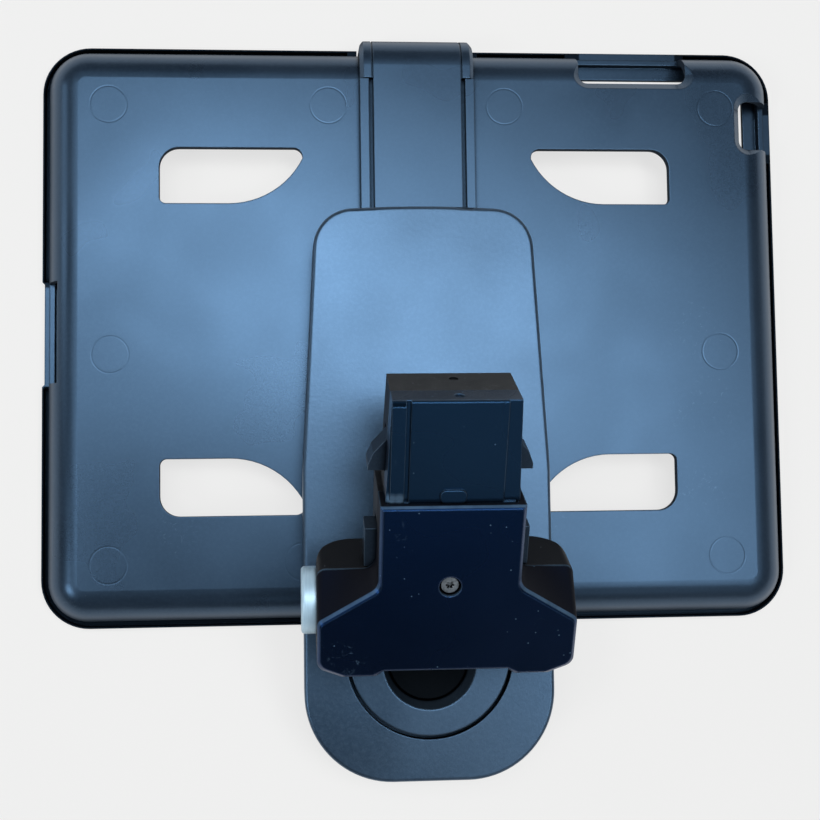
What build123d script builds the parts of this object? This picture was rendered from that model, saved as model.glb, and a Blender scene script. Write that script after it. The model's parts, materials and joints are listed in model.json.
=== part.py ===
from build123d import *
import math
import os

os.makedirs("parts", exist_ok=True)

# The mount lies on its face: the rim's front is at Z 0, +Z points out of the shell's back, and +Y points
# to the edge with the sliding hook. The origin is below the middle of the shell. Millimetres.

# Tablet that the shell is made for
tablet_length = 241.2
tablet_width = 185.7
tablet_thickness = 9.4
tablet_clearance = 0.3
tablet_back_room = 1.4

# Shell
shell_wall = 1.6
back_wall = 2.6
front_lip = 1.6
front_lip_reach = 4.4
back_round = 11.0
shell_corner = 16.0
rim_width = 0.5
rim_height = 4.0
groove_width = 2.0
groove_depth = 3.0
pocket_length = tablet_length + 2 * tablet_clearance
pocket_width = tablet_width + 2 * tablet_clearance
body_length = pocket_length + 2 * shell_wall
body_width = pocket_width + 2 * shell_wall
shell_length = body_length + 2 * (groove_width + rim_width)
shell_width = body_width + 2 * (groove_width + rim_width)
body_corner = shell_corner - groove_width - rim_width
pocket_corner = body_corner - shell_wall
pocket_top = front_lip + tablet_thickness + tablet_back_room
shell_depth = pocket_top + back_wall

# Windows in the shell's back, one in each quarter
window_outer_x = 85.2
window_outer_y = 60.5
window_height = 18.6
window_length = 47.0
window_flat = 22.6
window_tip_drop = 3.4
window_tip_round = 3.0
window_corner = 6.5
window_inner_corner = 2.2

# Cut-outs in the shell's edge for the tablet's buttons and connector
cutout_floor = 4.6
cutout_bevel = 2.4
cutout_corner = 3.0
volume_cutout_x = 74.0
volume_cutout_length = 41.7
volume_cutout_depth = 13.3
power_cutout_y = 69.6
power_cutout_length = 21.4
power_cutout_depth = 14.3
connector_cutout_length = 33.4
connector_cutout_depth = 4.1
connector_notch_depth = 0.8

# Sliding hook and its rails
latch_panel_width = 29.2
latch_panel_rise = 3.0
latch_plate_width = 34.0
latch_plate_thickness = 1.5
latch_head_width = 38.0
latch_head_bevel = 1.3
latch_head_corner = 4.2
latch_clearance = 0.25
latch_head_start = 83.5
latch_tail = 31.0
latch_web = 3.9
latch_tongue_reach = 4.6
latch_tongue_thickness = 1.3
latch_groove_width = 0.5
latch_groove_depth = 0.35
rail_width = 1.8
rail_height = 2.6
rail_lip = 1.2
rail_lip_thickness = 0.8
rail_end = 33.0
groove_stop = 3.4

# Spring of the sliding hook, bent to and fro from flat wire
spring_band = 0.8
spring_band_height = 1.4
spring_half_width = 8.0
spring_legs = 7
spring_bottom = 46.0
spring_length = 28.0
spring_clearance = 0.6
spring_post_length = 3.0
spring_post_height = 2.0
spring_post_corner = 1.0

# Pivot between shell and arm
turntable_radius = 26.0
turntable_thickness = 3.0
turntable_bevel = 0.4
spigot_radius = 13.0
pivot_washer_thickness = 1.0
washer_rim = 1.0
washer_gap = 0.3
running_clearance = 0.05
pivot_retainer_radius = 18.0
pivot_retainer_thickness = 1.9
turntable_screw_pitch_radius = 19.5
turntable_screw_count = 4
turntable_screw_angle = 45
turntable_screw_length = 4.8
retainer_screw_pitch_radius = 8.0
retainer_screw_count = 3
retainer_screw_length = 6.9

# Screws, and how close a measured place counts as the same
same_place = 0.01
screw_radius = 1.4
screw_head_radius = 2.7
screw_head_height = 1.4
screw_hole_gap = 0.05
screw_recess_radius = 1.2
screw_recess_depth = 0.8
screw_point = 0.8

# Arm
arm_thickness = 11.4
arm_floor = 2.5
arm_wall = 2.2
arm_roof = 2.4
arm_edge_round = 1.2
arm_top_y = 37.8
arm_length = 180.4
arm_top_bow = 1.6
arm_top_half_width = 34.6
arm_half_width = 39.2
arm_taper_length = 83.8
arm_top_corner = 13.0
arm_bottom_corner = 27.5
arm_boss_radius = 3.4
arm_screw_length = 7.0
arm_screw_inset = 8.4
upper_screw_drop = 15.8
middle_screw_drop = 101.8
lower_screw_inset = 11.2
lower_screw_rise = 15.1

# Turning disc in the arm's lower end
disc_from_end = 39.2
disc_radius = 25.3
disc_gap = 1.0
disc_thickness = 3.4
disc_spigot_radius = 20.0
disc_floor = 2.2
disc_recess_radius = 14.6
disc_recess_stretch = 5.0
disc_recess_taper = 14.0
disc_edge_round = 0.5
disc_washer_thickness = 1.0
bearing_ring_radius = 25.4
retainer_radius = 23.0
retainer_thickness = 1.5
retainer_gap = 0.3

# Hinge neck
hinge_offset = 21.0
hinge_rise = 30.7
barrel_radius = 8.6
barrel_half_length = 18.5
neck_half_width = 9.5
neck_thickness = 11.0
neck_foot_front = -5.6
neck_foot_depth = 10.6
neck_edge_round = 1.6
neck_plate_gap = 0.35
neck_plate_thickness = 1.8
neck_screw_x = 5.0
neck_screw_depth = 8.0
neck_screw_length = 9.7

# Hinge axle, brake and button
axle_radius = 3.0
axle_bevel = 0.4
axle_end_gap = 0.4
friction_washer_thickness = 0.9
friction_washer_radius = 8.2
play = 0.05
lock_disc_radius = 8.4
lock_disc_thickness = 2.9
lock_spring_count = 6
lock_spring_radius = 7.0
lock_spring_gauge = 0.5
lock_spring_gap = 0.2
lock_spring_rise = 0.42
button_travel = 2.2
button_radius = 9.5
button_proud = 4.2
button_engaged = 3.4
button_edge_round = 1.1
button_gap = 0.3
button_socket = 3.0

# Plug: lengths run from the hinge axis to the nose, heights from the axis to the front cover
plug_tilt = 25.8
seam_height = 5.0
front_height = 14.9
wing_rear = -11.5
stem_rear = -9.8
stem_half_width = 19.5
stem_top = 36.9
wing_half_width = 36.0
shoulder_length = 13.1
shoulder_front_inner = 12.2
shoulder_front_outer = 1.6
wing_bottom = -13.4
bulge_bottom = -16.4
bulge_outer = 29.0
bulge_inner = 19.6
middle_half_width = 17.4
middle_bottom = -14.8
cover_wall = 2.2
cover_front_wall = 2.4
wing_rear_round = 11.0
shoulder_inner_round = 4.0
shoulder_outer_round = 2.6
wing_bottom_round = 3.4
front_edge_bevel = 0.9
end_wall = 8.0
rib_thickness = 2.5
neck_slot_gap = 0.8
neck_slot_top = 2.6

# Nose of the plug
nose_end = 66.0
nose_half_width = 16.9
nose_base_half_width = 18.0
nose_front_height = 12.0
nose_rear_height = -7.3
nose_tenon = 29.6
nose_tenon_half_width = 16.8
nose_strip_width = 3.7
nose_strip_rise = 1.0
nose_strip_margin = 0.6
nose_strip_run = 2.4
nose_strip_end_run = 1.4
nose_groove_width = 1.3
nose_groove_depth = 0.6
nose_step_x = 13.5
nose_step_depth = 0.4
nose_tab_width = 7.0
nose_tab_length = 3.7
nose_end_bevel = 0.6
nose_tab_rise = 0.8
nose_tab_corner = 1.6
nose_mark_x = 0.8
nose_front_mark = 8.6
nose_rear_mark = -3.2
nose_mark_radius = 1.3
nose_mark_depth = 0.4

# Snap levers on both sides of the plug
lever_rear = -2.5
lever_front = 4.8
lever_gap = 0.3
lever_inner = 13.6
lever_outer = 17.0
lever_pivot_x = 14.5
lever_pivot_length = 12.8
lever_eye_radius = 2.4
lever_pin_radius = 1.4
lever_tip = 52.6
hook_barb = 43.0
hook_reach = 22.3
hook_land = 1.6
hook_shoulder = 48.0
hook_shoulder_reach = 21.0
tab_start = 13.6
tab_end = 25.3
tab_reach = 22.8
lever_window_gap = 1.6
lever_room = 7.4
bow_thickness = 0.7
bow_height = 4.0
bow_length = 32.0
bow_sag = 7.0

# Screw of the T cover
cover_screw_length = 12.6
cover_screw_head_radius = 2.4
cover_screw_head_height = 1.7
cover_screw_sink = 1.0
cover_screw_bore = 3.05
cover_screw_reach = 9.0
cover_hole_depth = 10.0
cover_boss_radius = 2.9
cover_pad_radius = 4.4
cover_pad_height = 3.0
cover_screw_lobes = 6
socket_radius = 0.8
socket_lobe_pitch_radius = 0.85
socket_lobe_radius = 0.34
socket_depth = 1.0

# Heights worked out from the sizes above
turntable_top = shell_depth + turntable_thickness
arm_rear = turntable_top + pivot_washer_thickness
arm_floor_top = arm_rear + arm_floor
arm_front = arm_rear + arm_thickness
arm_bottom_y = arm_top_y - arm_length
arm_straight_y = arm_top_y - arm_taper_length
disc_y = arm_bottom_y + disc_from_end
hinge_y = disc_y + hinge_offset
hinge_z = arm_front + hinge_rise
pivot_seat = arm_floor_top + running_clearance
disc_bottom = arm_front - disc_thickness
bearing_top = disc_bottom - disc_washer_thickness - play
bearing_bottom = arm_rear + retainer_gap + retainer_thickness + play
retainer_top = bearing_bottom - play
recess_floor = retainer_top + disc_floor
barrel_end = barrel_half_length + play
lock_disc_end = barrel_end + lock_disc_thickness
lock_spring_length = lock_spring_count * (lock_spring_gauge + lock_spring_rise)
right_rib = lock_disc_end + lock_spring_length
left_rib = barrel_end + friction_washer_thickness + play
axle_right_end = right_rib + rib_thickness + axle_end_gap
button_inner = wing_half_width - button_engaged
axle_left_end = button_inner + button_socket
plug_plane = Plane(
    origin=(0, hinge_y, hinge_z),
    x_dir=(1, 0, 0),
    z_dir=(0, -math.sin(math.radians(plug_tilt)), math.cos(math.radians(plug_tilt))),
)
plug_along = tuple(plug_plane.y_dir)


def plug_level(height):
    """Plane across the plug, parallel to its seam, at a height above the hinge axis."""
    return plug_plane.offset(height)


def plug_section(length):
    """Plane square to the plug's length, with its normal to the nose and its Y to the rear."""
    return Plane(origin=plug_plane.from_local_coords((0, length, 0)), x_dir=(1, 0, 0), z_dir=plug_along)


def hinge_section(x):
    """Plane square to the hinge axis at a place along it, with its normal along +X."""
    return Plane(origin=(x, hinge_y, hinge_z), x_dir=plug_along, z_dir=(1, 0, 0))


def finish(builder, label):
    """Names a finished piece and writes its file."""
    builder.part.label = label
    export_step(builder.part, f"parts/{label}.step")


def t_outline(stem, top, shoulder_inner, shoulder_outer, wing, inset, rounded):
    """T profile of the plug, with rounded corners where asked."""
    right = [
        (stem, top),
        (stem, shoulder_inner),
        (wing, shoulder_outer),
        (wing, wing_bottom + inset),
        (bulge_outer - inset, bulge_bottom + inset),
        (bulge_inner + inset, bulge_bottom + inset),
        (middle_half_width, middle_bottom + inset),
    ]
    left = [(-x, y) for x, y in reversed(right)]
    corners = (
        (right[1], shoulder_inner_round),
        (right[2], shoulder_outer_round),
        (right[3], wing_bottom_round),
    )
    with BuildSketch() as outline:
        Polygon(*right, *left, align=None)
        if rounded:
            for (corner_x, corner_y), radius in corners:
                found = outline.vertices().filter_by(
                    lambda vertex: abs(abs(vertex.X) - corner_x) < same_place
                    and abs(vertex.Y - corner_y) < same_place
                )
                fillet(found, radius=radius)
    return outline.sketch


def screw_profile(head_radius, head_height, length):
    """Half section of a countersunk screw, drawn in the current sketch with its head at the origin."""
    Polygon(
        (0, screw_recess_depth),
        (screw_recess_radius, 0),
        (head_radius, 0),
        (screw_radius, head_height),
        (screw_radius, length),
        (0, length + screw_point),
        align=None,
    )


def arm_outline(inset):
    """Outline of the arm, drawn in by an inset."""
    with BuildSketch() as outline:
        with BuildLine():
            sides = Polyline(
                (-arm_top_half_width, arm_top_y - arm_top_bow),
                (-arm_half_width, arm_straight_y),
                (-arm_half_width, arm_bottom_y),
                (arm_half_width, arm_bottom_y),
                (arm_half_width, arm_straight_y),
                (arm_top_half_width, arm_top_y - arm_top_bow),
            )
            ThreePointArc(sides @ 1, (0, arm_top_y), sides @ 0)
        make_face()
        fillet(outline.vertices().group_by(Axis.Y)[-1], radius=arm_top_corner)
        fillet(outline.vertices().group_by(Axis.Y)[0], radius=arm_bottom_corner)
        if inset:
            offset(amount=-inset, mode=Mode.REPLACE)
    return outline.sketch


# Tablet shell
with BuildPart() as pocket_space:
    with BuildSketch(Plane.XY.offset(front_lip)):
        RectangleRounded(pocket_length, pocket_width, pocket_corner)
    extrude(amount=pocket_top - front_lip)
    fillet(faces().sort_by(Axis.Z)[-1].edges(), radius=back_round - shell_wall)

rail_inner = latch_plate_width / 2 + latch_clearance
rail_outer = rail_inner + rail_width

with BuildPart() as tablet_shell:
    with BuildSketch():
        RectangleRounded(body_length, body_width, body_corner)
    extrude(amount=shell_depth)
    fillet(faces().sort_by(Axis.Z)[-1].edges(), radius=back_round)
    with BuildSketch():
        RectangleRounded(shell_length, shell_width, shell_corner)
    extrude(amount=rim_height)
    # Groove behind the rim, stopped at the sliding hook and at the cut-outs
    with BuildSketch(Plane.XY.offset(rim_height)):
        RectangleRounded(shell_length - 2 * rim_width, shell_width - 2 * rim_width, shell_corner - rim_width)
        RectangleRounded(body_length, body_width, body_corner, mode=Mode.SUBTRACT)
        with Locations((0, shell_width / 2)):
            Rectangle(latch_head_width + 2 * groove_stop, shell_corner, mode=Mode.SUBTRACT)
        with Locations((-shell_length / 2, 0)):
            Rectangle(shell_corner, connector_cutout_length + 2 * connector_notch_depth, mode=Mode.SUBTRACT)
        with Locations((volume_cutout_x, shell_width / 2)):
            Rectangle(volume_cutout_length, shell_corner, mode=Mode.SUBTRACT)
        with Locations((shell_length / 2, power_cutout_y)):
            Rectangle(shell_corner, power_cutout_length, mode=Mode.SUBTRACT)
    extrude(amount=-groove_depth, mode=Mode.SUBTRACT)
    # Shallow notch in the rim at the connector, with slanted ends
    notch_half = connector_cutout_length / 2
    with BuildSketch():
        with BuildLine():
            Polyline(
                (-shell_length / 2, -notch_half - connector_notch_depth),
                (-shell_length / 2 + connector_notch_depth, -notch_half),
                (-shell_length / 2 + connector_notch_depth, notch_half),
                (-shell_length / 2, notch_half + connector_notch_depth),
                close=True,
            )
        make_face()
    extrude(amount=rim_height, mode=Mode.SUBTRACT)
    # Pocket and its front mouth
    add(pocket_space.part, mode=Mode.SUBTRACT)
    with BuildSketch():
        RectangleRounded(
            pocket_length - 2 * front_lip_reach,
            pocket_width - 2 * front_lip_reach,
            pocket_corner - front_lip_reach,
        )
    extrude(amount=front_lip, mode=Mode.SUBTRACT)
    # Windows
    with BuildSketch(Plane.XY.offset(shell_depth)) as windows:
        with BuildLine():
            outer_edge = Line(
                (-window_outer_x, window_outer_y),
                (-window_outer_x + window_length, window_outer_y),
            )
            tip_edge = Line(outer_edge @ 1, (outer_edge @ 1) - (0, window_tip_drop))
            bottom_edge = Line(
                (-window_outer_x, window_outer_y - window_height),
                (-window_outer_x + window_flat, window_outer_y - window_height),
            )
            TangentArc(bottom_edge @ 1, tip_edge @ 1, tangent=(1, 0))
            Line(bottom_edge @ 0, outer_edge @ 0)
        make_face()
        fillet(windows.vertices().group_by(Axis.X)[-1].sort_by(Axis.Y)[-1], radius=window_tip_round)
        fillet(windows.vertices().group_by(Axis.X)[0].sort_by(Axis.Y)[-1], radius=window_corner)
        fillet(windows.vertices().sort_by(Axis.X)[0:2].sort_by(Axis.Y)[0], radius=window_inner_corner)
        mirror(about=Plane.YZ)
        mirror(about=Plane.XZ)
    extrude(amount=-2 * back_wall, mode=Mode.SUBTRACT)
    # Bevelled cut-outs for the volume keys, the power key and the connector
    with BuildSketch(Plane.XY.offset(cutout_floor)):
        with Locations((volume_cutout_x, body_width / 2)):
            RectangleRounded(volume_cutout_length - 2 * cutout_bevel,
                             2 * (volume_cutout_depth - cutout_bevel), cutout_corner)
        with Locations((body_length / 2, power_cutout_y)):
            RectangleRounded(2 * (power_cutout_depth - cutout_bevel),
                             power_cutout_length - 2 * cutout_bevel, cutout_corner)
        with Locations((-body_length / 2, 0)):
            Rectangle(2 * connector_cutout_depth, connector_cutout_length)
        RectangleRounded(body_length, body_width, body_corner, mode=Mode.INTERSECT)
    extrude(amount=shell_depth, mode=Mode.SUBTRACT)
    with BuildSketch(Plane.XY.offset(shell_depth)):
        with Locations((volume_cutout_x, body_width / 2)):
            RectangleRounded(volume_cutout_length, 2 * volume_cutout_depth, cutout_corner + cutout_bevel)
        with Locations((body_length / 2, power_cutout_y)):
            RectangleRounded(2 * power_cutout_depth, power_cutout_length, cutout_corner + cutout_bevel)
    extrude(amount=-cutout_bevel, taper=45, mode=Mode.SUBTRACT)
    # Rails of the sliding hook, with lips that hold its plate down
    with BuildSketch(Plane.XZ.offset(-latch_head_start)):
        for side_sign in (-1, 1):
            with BuildLine():
                Polyline(
                    (side_sign * rail_outer, shell_depth),
                    (side_sign * rail_outer, shell_depth + rail_height),
                    (side_sign * (rail_inner - rail_lip), shell_depth + rail_height),
                    (side_sign * (rail_inner - rail_lip), shell_depth + rail_height - rail_lip_thickness),
                    (side_sign * rail_inner, shell_depth + rail_height - rail_lip_thickness),
                    (side_sign * rail_inner, shell_depth),
                    close=True,
                )
            make_face()
    extrude(amount=latch_head_start - rail_end)
    # Post that the hook's spring pushes against
    with BuildSketch(Plane.XY.offset(shell_depth)):
        with Locations((0, spring_bottom + spring_length + spring_post_length / 2)):
            RectangleRounded(2 * spring_half_width, spring_post_length, spring_post_corner)
    extrude(amount=spring_post_height)
    # Gap in the rim for the hook's web, and in the front lip for its tongue
    with BuildSketch():
        with Locations((0, shell_width / 2)):
            Rectangle(latch_head_width + 2 * latch_clearance, 2 * (groove_width + rim_width))
    extrude(amount=rim_height, mode=Mode.SUBTRACT)
    with BuildSketch():
        with Locations((0, shell_width / 2)):
            Rectangle(latch_head_width + 2 * latch_clearance, 2 * (shell_width - pocket_width + front_lip_reach))
    extrude(amount=front_lip + latch_clearance, mode=Mode.SUBTRACT)
    # Countersunk holes for the turntable's screws
    with BuildSketch(Plane.XY.offset(pocket_top)):
        with PolarLocations(turntable_screw_pitch_radius, turntable_screw_count, start_angle=turntable_screw_angle):
            Circle(screw_head_radius + screw_hole_gap)
    extrude(amount=screw_head_height, taper=math.degrees(
        math.atan2(screw_head_radius - screw_radius, screw_head_height)), mode=Mode.SUBTRACT)
    with BuildSketch(Plane.XY.offset(pocket_top)):
        with PolarLocations(turntable_screw_pitch_radius, turntable_screw_count, start_angle=turntable_screw_angle):
            Circle(screw_radius + screw_hole_gap)
    extrude(amount=back_wall, mode=Mode.SUBTRACT)
finish(tablet_shell, "tablet_shell")

# Sliding hook
latch_low = shell_depth + latch_clearance
latch_high = shell_depth + latch_panel_rise
web_inner = body_width / 2 + latch_clearance
web_outer = web_inner + latch_web
spring_top = spring_bottom + spring_length

with BuildPart() as tablet_latch:
    # Side profile of the head, bent over the shell's rounded edge
    with BuildSketch(Plane.YZ):
        with BuildLine():
            back_line = Line((latch_head_start, latch_high), (web_outer - back_round, latch_high))
            over = RadiusArc(back_line @ 1, (web_outer, latch_high - back_round), back_round)
            outer = Line(over @ 1, (web_outer, latch_clearance))
            tip = Line(outer @ 1, (web_inner - latch_tongue_reach - shell_wall, latch_clearance))
            tip_end = Line(tip @ 1, (tip @ 1) + (0, latch_tongue_thickness))
            tongue = Line(tip_end @ 1, (web_inner, latch_clearance + latch_tongue_thickness))
            web = Line(tongue @ 1, (web_inner, latch_low - back_round))
            rounding = RadiusArc(web @ 1, (web_inner - back_round, latch_low), -back_round)
            under = Line(rounding @ 1, (latch_head_start, latch_low))
            Line(under @ 1, back_line @ 0)
        make_face()
    extrude(amount=latch_head_width / 2, both=True)
    bevelled = edges().filter_by(
        lambda edge: abs(abs(edge.center().X) - latch_head_width / 2) < same_place
        and (
            edge.center().Z > latch_high - same_place
            or edge.center().Y > web_outer - same_place
            or (edge.geom_type == GeomType.CIRCLE and edge.radius > back_round - same_place
                and edge.arc_center.Y > web_outer - back_round - same_place)
        )
    )
    chamfer(bevelled, length=latch_head_bevel)
    # Rounded outer corners of the head
    with BuildSketch() as head_plan:
        with Locations((0, (latch_head_start + web_outer) / 2)):
            Rectangle(latch_head_width, web_outer - latch_head_start)
        fillet(head_plan.vertices().group_by(Axis.Y)[-1], radius=latch_head_corner)
    extrude(amount=latch_high, mode=Mode.INTERSECT)
    # Two fine grooves over the head, in line with the panel's edges
    for groove_x in (-latch_panel_width / 2 - latch_groove_width, latch_panel_width / 2):
        with BuildSketch(Plane.YZ.offset(groove_x)):
            with BuildLine():
                upper = Line((latch_head_start, latch_high), (web_outer - back_round, latch_high))
                bend = RadiusArc(upper @ 1, (web_outer, latch_high - back_round), back_round)
                down = Line(bend @ 1, (web_outer, rim_height))
                inward = Line(down @ 1, (down @ 1) - (latch_groove_depth, 0))
                back_up = Line(inward @ 1, (web_outer - latch_groove_depth, latch_high - back_round))
                inner_bend = RadiusArc(
                    back_up @ 1,
                    (web_outer - back_round, latch_high - latch_groove_depth),
                    -(back_round - latch_groove_depth),
                )
                lower = Line(inner_bend @ 1, (latch_head_start, latch_high - latch_groove_depth))
                Line(lower @ 1, upper @ 0)
            make_face()
        extrude(amount=latch_groove_width, mode=Mode.SUBTRACT)
    # Plate under the rails and the raised panel on it
    with BuildSketch(Plane.XY.offset(latch_low)):
        with Locations((0, (latch_head_start + latch_tail) / 2)):
            Rectangle(latch_plate_width, latch_head_start - latch_tail)
    extrude(amount=latch_plate_thickness - latch_clearance)
    with BuildSketch(Plane.XY.offset(latch_low)):
        with Locations((0, (latch_head_start + latch_tail) / 2)):
            Rectangle(latch_panel_width, latch_head_start - latch_tail)
    extrude(amount=latch_panel_rise - latch_clearance)
    # Pocket for the spring and the post
    with BuildSketch(Plane.XY.offset(latch_low)):
        room_end = spring_top + spring_post_length + latch_clearance
        with Locations((0, (spring_bottom + room_end) / 2)):
            Rectangle(2 * (spring_half_width + spring_clearance), room_end - spring_bottom)
    extrude(amount=spring_post_height, mode=Mode.SUBTRACT)
finish(tablet_latch, "tablet_latch")

# Serpentine spring
spring_step = (spring_length - spring_band) / spring_legs
spring_points = []
for leg in range(spring_legs + 1):
    level = spring_bottom + spring_band / 2 + leg * spring_step
    turn = spring_half_width - spring_band / 2
    first, last = (-turn, turn) if leg % 2 == 0 else (turn, -turn)
    spring_points += [(first, level), (last, level)]
with BuildPart() as latch_spring:
    with BuildSketch(Plane.XY.offset(latch_low)):
        with BuildLine():
            Polyline(*spring_points)
        trace(line_width=spring_band)
    extrude(amount=spring_band_height)
finish(latch_spring, "latch_spring")

# Pivot between shell and arm
with BuildPart() as turntable:
    with BuildSketch(Plane.XY.offset(shell_depth)):
        Circle(turntable_radius)
    extrude(amount=turntable_thickness)
    chamfer(edges().group_by(Axis.Z)[-1], length=turntable_bevel)
    with BuildSketch(Plane.XY.offset(turntable_top)):
        Circle(spigot_radius)
    extrude(amount=pivot_seat - turntable_top)
    with BuildSketch(Plane.XY.offset(shell_depth)):
        with PolarLocations(turntable_screw_pitch_radius, turntable_screw_count, start_angle=turntable_screw_angle):
            Circle(screw_radius + screw_hole_gap)
    extrude(amount=turntable_thickness, mode=Mode.SUBTRACT)
    with BuildSketch(Plane.XY.offset(shell_depth)):
        with PolarLocations(retainer_screw_pitch_radius, retainer_screw_count):
            Circle(screw_radius + screw_hole_gap)
    extrude(amount=pivot_seat - shell_depth, mode=Mode.SUBTRACT)
finish(turntable, "turntable")

with BuildPart() as turntable_washer:
    with BuildSketch(Plane.XY.offset(turntable_top)):
        Circle(turntable_radius - washer_rim)
        Circle(spigot_radius + washer_gap, mode=Mode.SUBTRACT)
    extrude(amount=pivot_washer_thickness - play)
finish(turntable_washer, "turntable_washer")

with BuildPart() as pivot_retainer:
    with BuildSketch(Plane.XY.offset(pivot_seat)):
        Circle(pivot_retainer_radius)
    extrude(amount=pivot_retainer_thickness)
    with Locations((0, 0, pivot_seat + pivot_retainer_thickness)):
        with PolarLocations(retainer_screw_pitch_radius, retainer_screw_count):
            CounterSinkHole(screw_radius + screw_hole_gap, screw_head_radius + screw_hole_gap)
finish(pivot_retainer, "pivot_retainer")

with BuildPart() as screw_up:
    with BuildSketch(Plane.XZ):
        screw_profile(screw_head_radius, screw_head_height, turntable_screw_length)
    revolve(axis=Axis.Z)

with BuildPart() as turntable_screws:
    with Locations((0, 0, pocket_top)):
        with PolarLocations(turntable_screw_pitch_radius, turntable_screw_count, start_angle=turntable_screw_angle):
            add(screw_up.part)
finish(turntable_screws, "turntable_screws")

with BuildPart() as screw_down:
    with BuildSketch(Plane.XZ):
        screw_profile(screw_head_radius, screw_head_height, retainer_screw_length)
    revolve(axis=Axis.Z)

with BuildPart() as retainer_screws:
    with Locations(Location((0, 0, pivot_seat + pivot_retainer_thickness), (180, 0, 0))):
        with PolarLocations(retainer_screw_pitch_radius, retainer_screw_count):
            add(screw_down.part)
finish(retainer_screws, "retainer_screws")

# Arm
arm_screw_places = [
    (arm_top_half_width - arm_screw_inset, arm_top_y - upper_screw_drop),
    (arm_half_width - arm_screw_inset, arm_top_y - middle_screw_drop),
    (arm_half_width - lower_screw_inset, arm_bottom_y + lower_screw_rise),
]
arm_screw_spots = [(sign * x, y) for x, y in arm_screw_places for sign in (-1, 1)]
with BuildPart() as arm_base:
    with BuildSketch(Plane.XY.offset(arm_rear)):
        add(arm_outline(0))
    extrude(amount=arm_floor)
    with BuildSketch(Plane.XY.offset(bearing_bottom)):
        with Locations((0, disc_y)):
            Circle(bearing_ring_radius)
    extrude(amount=bearing_top - bearing_bottom)
    with BuildSketch(Plane.XY.offset(arm_rear)):
        Circle(spigot_radius + running_clearance)
        with Locations((0, disc_y)):
            Circle(retainer_radius + retainer_gap)
    extrude(amount=bearing_bottom - arm_rear, mode=Mode.SUBTRACT)
    with BuildSketch(Plane.XY.offset(arm_rear)):
        Circle(spigot_radius + running_clearance)
        with Locations((0, disc_y)):
            Circle(disc_spigot_radius + running_clearance)
    extrude(amount=arm_front, mode=Mode.SUBTRACT)
    with BuildSketch(Plane.XY.offset(arm_rear)):
        with Locations(*arm_screw_spots):
            Circle(screw_head_radius + screw_hole_gap)
    extrude(amount=screw_head_height, taper=math.degrees(
        math.atan2(screw_head_radius - screw_radius, screw_head_height)), mode=Mode.SUBTRACT)
    with BuildSketch(Plane.XY.offset(arm_rear)):
        with Locations(*arm_screw_spots):
            Circle(screw_radius + screw_hole_gap)
    extrude(amount=arm_floor, mode=Mode.SUBTRACT)
finish(arm_base, "arm_base")

with BuildPart() as arm_cover:
    with BuildSketch(Plane.XY.offset(arm_floor_top)):
        add(arm_outline(0))
    extrude(amount=arm_front - arm_floor_top)
    fillet(faces().sort_by(Axis.Z)[-1].edges(), radius=arm_edge_round)
    with BuildSketch(Plane.XY.offset(arm_floor_top)):
        add(arm_outline(arm_wall))
    extrude(amount=arm_front - arm_roof - arm_floor_top, mode=Mode.SUBTRACT)
    with BuildSketch(Plane.XY.offset(arm_floor_top)):
        with Locations(*arm_screw_spots):
            Circle(arm_boss_radius)
    extrude(amount=arm_front - arm_roof - arm_floor_top)
    with BuildSketch(Plane.XY.offset(arm_floor_top)):
        with Locations(*arm_screw_spots):
            Circle(screw_radius + screw_hole_gap)
    extrude(amount=arm_screw_length, mode=Mode.SUBTRACT)
    with BuildSketch(Plane.XY.offset(arm_floor_top)):
        with Locations((0, disc_y)):
            Circle(disc_radius + disc_gap)
    extrude(amount=arm_front, mode=Mode.SUBTRACT)
finish(arm_cover, "arm_cover")

with BuildPart() as screw_arm:
    with BuildSketch(Plane.XZ):
        screw_profile(screw_head_radius, screw_head_height, arm_screw_length)
    revolve(axis=Axis.Z)

with BuildPart() as arm_screws:
    with Locations(*[(x, y, arm_rear) for x, y in arm_screw_spots]):
        add(screw_arm.part)
finish(arm_screws, "arm_screws")

# Turning disc
with BuildPart() as swivel_disc:
    with BuildSketch(Plane.XY.offset(disc_bottom)):
        with Locations((0, disc_y)):
            Circle(disc_radius)
    extrude(amount=disc_thickness)
    with BuildSketch(Plane.XY.offset(retainer_top)):
        with Locations((0, disc_y)):
            Circle(disc_spigot_radius)
    extrude(amount=disc_bottom - retainer_top)
    # Stretched recess with sloped walls
    with BuildSketch(Plane.XY.offset(arm_front)):
        with Locations((0, disc_y)):
            SlotCenterToCenter(disc_recess_stretch, 2 * disc_recess_radius, rotation=90)
    extrude(amount=recess_floor - arm_front, taper=disc_recess_taper, mode=Mode.SUBTRACT)
    fillet(faces().sort_by(Axis.Z)[-1].edges(), radius=disc_edge_round)
    neck_screw_y = disc_y + neck_foot_front + neck_foot_depth / 2
    with BuildSketch(Plane.XY.offset(retainer_top)):
        with Locations((-neck_screw_x, neck_screw_y), (neck_screw_x, neck_screw_y)):
            Circle(screw_radius + screw_hole_gap)
    extrude(amount=disc_floor, mode=Mode.SUBTRACT)
finish(swivel_disc, "swivel_disc")

with BuildPart() as disc_washer:
    with BuildSketch(Plane.XY.offset(bearing_top)):
        with Locations((0, disc_y)):
            Circle(bearing_ring_radius - washer_rim)
            Circle(disc_spigot_radius + washer_gap, mode=Mode.SUBTRACT)
    extrude(amount=disc_washer_thickness)
finish(disc_washer, "disc_washer")

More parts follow.
